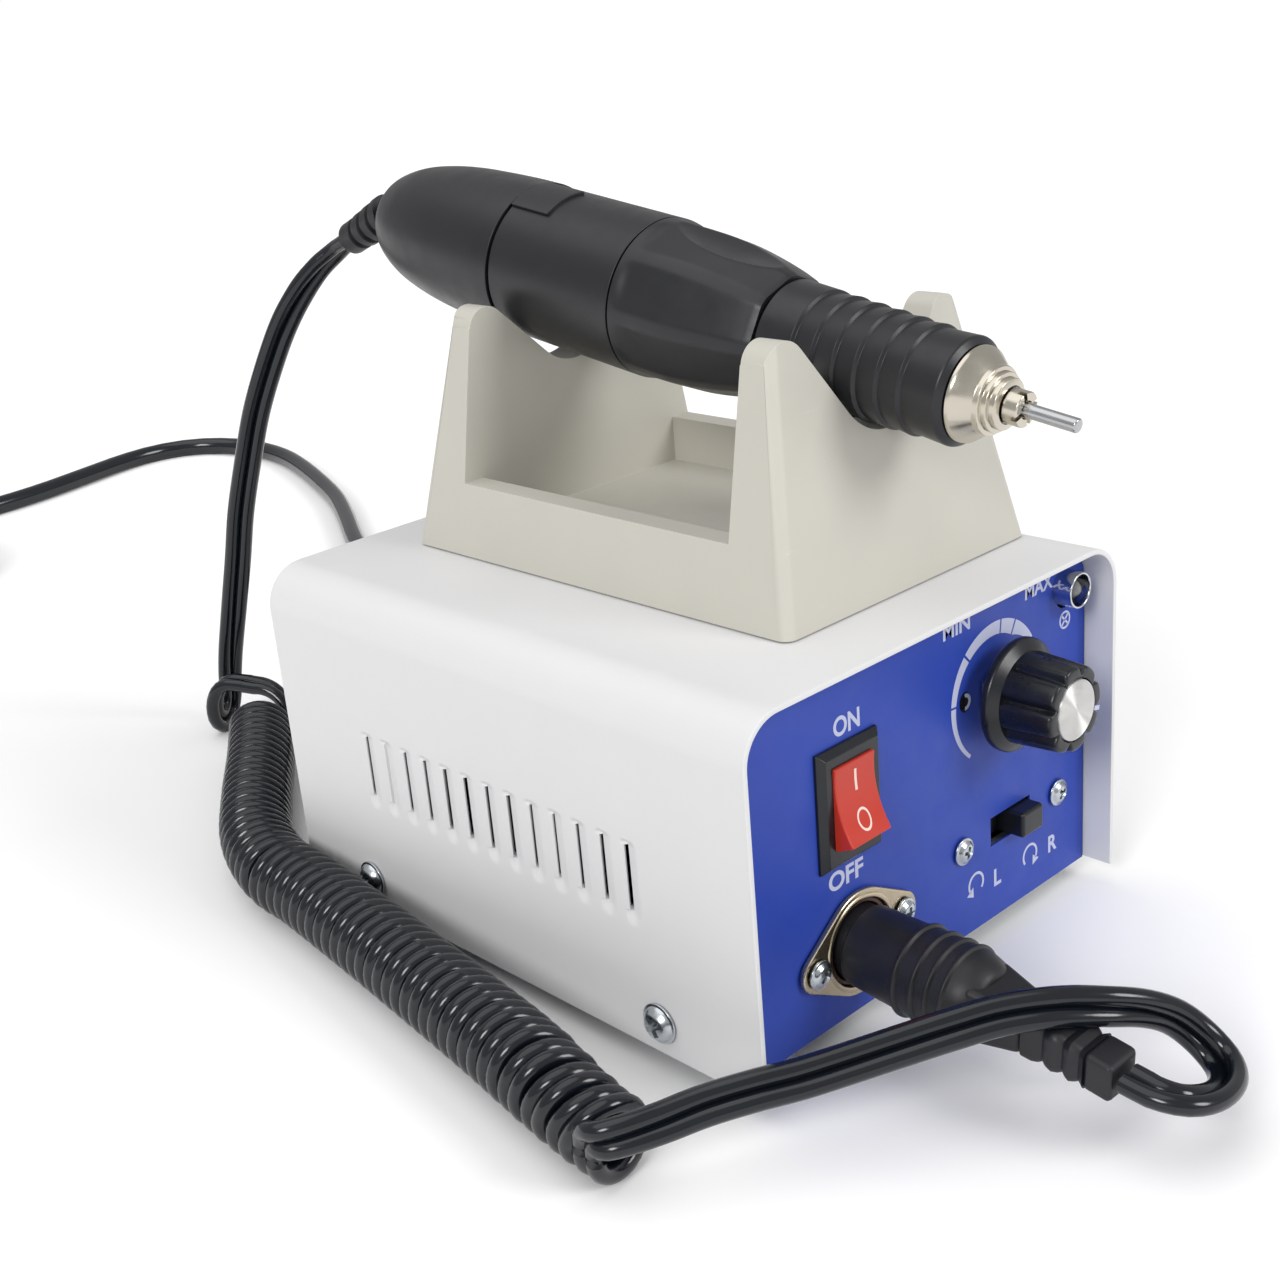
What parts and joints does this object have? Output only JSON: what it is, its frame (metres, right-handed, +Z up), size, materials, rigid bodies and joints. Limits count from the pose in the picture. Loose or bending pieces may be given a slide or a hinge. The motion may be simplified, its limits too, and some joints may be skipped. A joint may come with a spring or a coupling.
{
  "type": "dental laboratory micromotor",
  "caption": "Bench micromotor for dental work: sheet-metal control box with rocker, speed knob and direction switch, cradle on top, and a motor handpiece on a curly cord.",
  "frame": {"origin": "on the table under the middle of the control box and handpiece together", "axes": "+X to the right of the front panel, +Y from the front panel to the rear, +Z up"},
  "size_m": [0.2809, 0.5405, 0.135],
  "materials": {
    "case_white": "white powder coat with a slight texture",
    "zinc": "bright zinc plate",
    "label_blue": "blue printed film, satin",
    "black_rubber": "matt black rubber",
    "steel": "plain machined steel",
    "brown_tape": "varnished brown winding tape",
    "board_green": "green solder mask",
    "black_plastic": "moulded black plastic",
    "rocker_red": "moulded red plastic",
    "nickel": "warm nickel plate",
    "aluminium": "turned aluminium",
    "chrome": "bright chrome",
    "led_clear": "red lens of a small lamp",
    "brown_plastic": "brown insulating plastic",
    "cradle_beige": "beige moulded plastic, satin",
    "handpiece_black": "satin charcoal finish",
    "copper": "wound copper under varnish",
    "cord_black": "glossy black cord jacket"
  },
  "bodies": {
    "unit": {"case_cover": "case_white", "chassis": "zinc", "cover_screw_1": "zinc", "cover_screw_2": "zinc", "cover_screw_3": "zinc", "cover_screw_4": "zinc", "switch_screw_1": "zinc", "switch_screw_2": "zinc", "socket_screw_1": "zinc", "socket_screw_2": "zinc", "front_label": "label_blue", "foot_1": "black_rubber", "foot_2": "black_rubber", "foot_3": "black_rubber", "foot_4": "black_rubber", "mains_bushing": "black_rubber", "plug_shell": "black_rubber", "plug_boot": "black_rubber", "mains_plug": "black_rubber", "transformer_core": "steel", "speed_pot": "steel", "slide_switch": "steel", "transformer_coil": "brown_tape", "circuit_board": "board_green", "fuse_holder": "black_plastic", "rocker_frame": "black_plastic", "pot_nut": "nickel", "socket_flange": "nickel", "lamp_bezel": "chrome", "lamp_led": "led_clear", "socket_insert": "brown_plastic", "cradle": "cradle_beige", "handpiece_cord": "cord_black", "curly_cord": "cord_black", "front_lead": "cord_black", "mains_lead": "cord_black", "mains_coil": "cord_black"},
    "rocker": {"power_rocker": "rocker_red"},
    "knob": {"speed_knob": "black_plastic", "knob_disc": "aluminium"},
    "slider": {"slide_button": "black_plastic"},
    "handpiece": {"tail_relief": "black_rubber", "rear_shell": "handpiece_black", "motor_housing": "handpiece_black", "magnet_ring": "steel", "end_bell": "aluminium", "rear_bearing": "steel", "brush_holder_1": "brown_plastic", "brush_holder_2": "brown_plastic", "chuck_housing": "steel", "nose_grip": "handpiece_black", "front_bearing": "steel", "nose_cone": "nickel"},
    "sleeve": {"lock_sleeve": "handpiece_black"},
    "rotor": {"spindle": "steel", "armature": "copper", "collet_nut": "nickel", "tool_pin": "steel"}
  },
  "joints": [
    {"name": "power_switch", "type": "hinge", "parent": "unit", "child": "rocker", "pos_m": [-0.02, -0.06722, 0.0433], "axis": [1, 0, 0], "range_deg": [0, 26]},
    {"name": "speed_control", "type": "hinge", "parent": "unit", "child": "knob", "pos_m": [0.0208, -0.06862, 0.0482], "axis": [0, 1, 0], "range_deg": [-240, 60]},
    {"name": "direction_switch", "type": "slide", "parent": "unit", "child": "slider", "axis": [1, 0, 0], "range_m": [-0.0046, 0]},
    {"name": "handpiece_lift", "type": "slide", "parent": "unit", "child": "handpiece", "axis": [0, 0, 1], "range_m": [0, 0.05]},
    {"name": "chuck_lock", "type": "hinge", "parent": "handpiece", "child": "sleeve", "pos_m": [0.01, -0.01292, 0.1119], "axis": [0, -0.9891, -0.1475], "range_deg": [0, 60]},
    {"name": "spindle_turn", "type": "hinge", "parent": "handpiece", "child": "rotor", "pos_m": [0.01, -0.01292, 0.1119], "axis": [0, -0.9891, -0.1475], "continuous": true}
  ]
}
